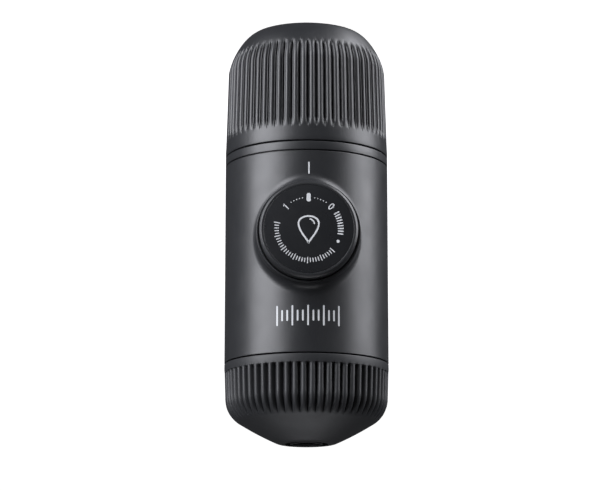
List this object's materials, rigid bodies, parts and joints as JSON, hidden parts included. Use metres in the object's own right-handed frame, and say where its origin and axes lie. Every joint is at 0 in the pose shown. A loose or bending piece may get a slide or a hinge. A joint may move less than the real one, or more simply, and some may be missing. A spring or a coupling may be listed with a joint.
{
  "type": "handheld espresso maker",
  "caption": "Hand-held pump espresso maker: fluted screw-on water tank, smooth body with a round thumb piston, and a fluted cone-ended portafilter with outlet.",
  "frame": {"origin": "centre of the water tank's flat end, which the maker stands on", "axes": "+Z along the body from the tank to the outlet, -Y the way the thumb piston looks"},
  "size_m": [0.061, 0.071, 0.156],
  "materials": {
    "shell_plastic": "satin charcoal",
    "disc_plastic": "near-black, satin gloss",
    "inner_plastic": "moulded dark grey",
    "steel": "stainless",
    "seal_rubber": "black silicone",
    "nozzle_plastic": "black"
  },
  "bodies": {
    "housing": {"tank_neck": "shell_plastic", "neck_screws": "steel", "inlet_strainer": "steel", "body_shell": "shell_plastic", "return_spring": "steel", "pump_block": "inner_plastic", "piston_guide": "inner_plastic", "cylinder_liner": "steel", "gland_nut": "inner_plastic", "end_plug": "inner_plastic", "plug_seal": "seal_rubber", "tie_screws": "steel", "inlet_seat": "inner_plastic", "inlet_spring": "steel", "outlet_seat": "inner_plastic", "outlet_spring": "steel", "riser_tube": "inner_plastic", "riser_seal": "seal_rubber", "group_head": "inner_plastic", "shower_screen": "steel", "screen_screw": "steel", "group_gasket": "seal_rubber"},
    "lock": {"turning_ring": "inner_plastic"},
    "piston": {"piston_cap": "shell_plastic", "face_disc": "disc_plastic", "cap_screw": "steel", "plunger": "steel", "plunger_seal": "seal_rubber"},
    "inlet_valve": {"inlet_poppet": "steel"},
    "outlet_valve": {"outlet_poppet": "steel"},
    "tank_seal": {"tank_gasket": "seal_rubber"},
    "tank": {"water_tank": "shell_plastic"},
    "basket": {"filter_basket": "steel"},
    "portafilter": {"portafilter": "shell_plastic", "outlet_nozzle": "nozzle_plastic", "nozzle_seal": "seal_rubber"}
  },
  "joints": [
    {"name": "piston_turn", "type": "hinge", "parent": "housing", "child": "lock", "pos_m": [0, 0, 0.0832], "axis": [0, -1, 0], "range_deg": [-45, 45]},
    {"name": "piston_press", "type": "slide", "parent": "lock", "child": "piston", "axis": [0, -1, 0], "range_m": [0, 0.014], "deforming": ["return_spring"]},
    {"name": "inlet_valve_lift", "type": "slide", "parent": "housing", "child": "inlet_valve", "axis": [0, 0, 1], "range_m": [0, 0.001], "stiffness_N_per_m": 30, "deforming": ["inlet_spring"]},
    {"name": "outlet_valve_lift", "type": "slide", "parent": "housing", "child": "outlet_valve", "axis": [0, 0, 1], "range_m": [0, 0.001], "stiffness_N_per_m": 30, "deforming": ["outlet_spring"]},
    {"name": "tank_advance", "type": "slide", "parent": "housing", "child": "tank_seal", "axis": [0, 0, -1], "range_m": [0, 0.0093]},
    {"name": "tank_turn", "type": "hinge", "parent": "tank_seal", "child": "tank", "pos_m": [0, 0, 0.024], "axis": [0, 0, -1], "range_deg": [0, 1080]},
    {"name": "portafilter_advance", "type": "slide", "parent": "housing", "child": "basket", "axis": [0, 0, 1], "range_m": [0, 0.006]},
    {"name": "portafilter_turn", "type": "hinge", "parent": "basket", "child": "portafilter", "pos_m": [0, 0, 0.1413], "axis": [0, 0, 1], "range_deg": [0, 540]}
  ],
  "couplings": [
    {"joint": "tank_advance", "follows": "tank_turn", "m_per_rad": 0.00049338},
    {"joint": "portafilter_advance", "follows": "portafilter_turn", "m_per_rad": 0.00063662}
  ]
}
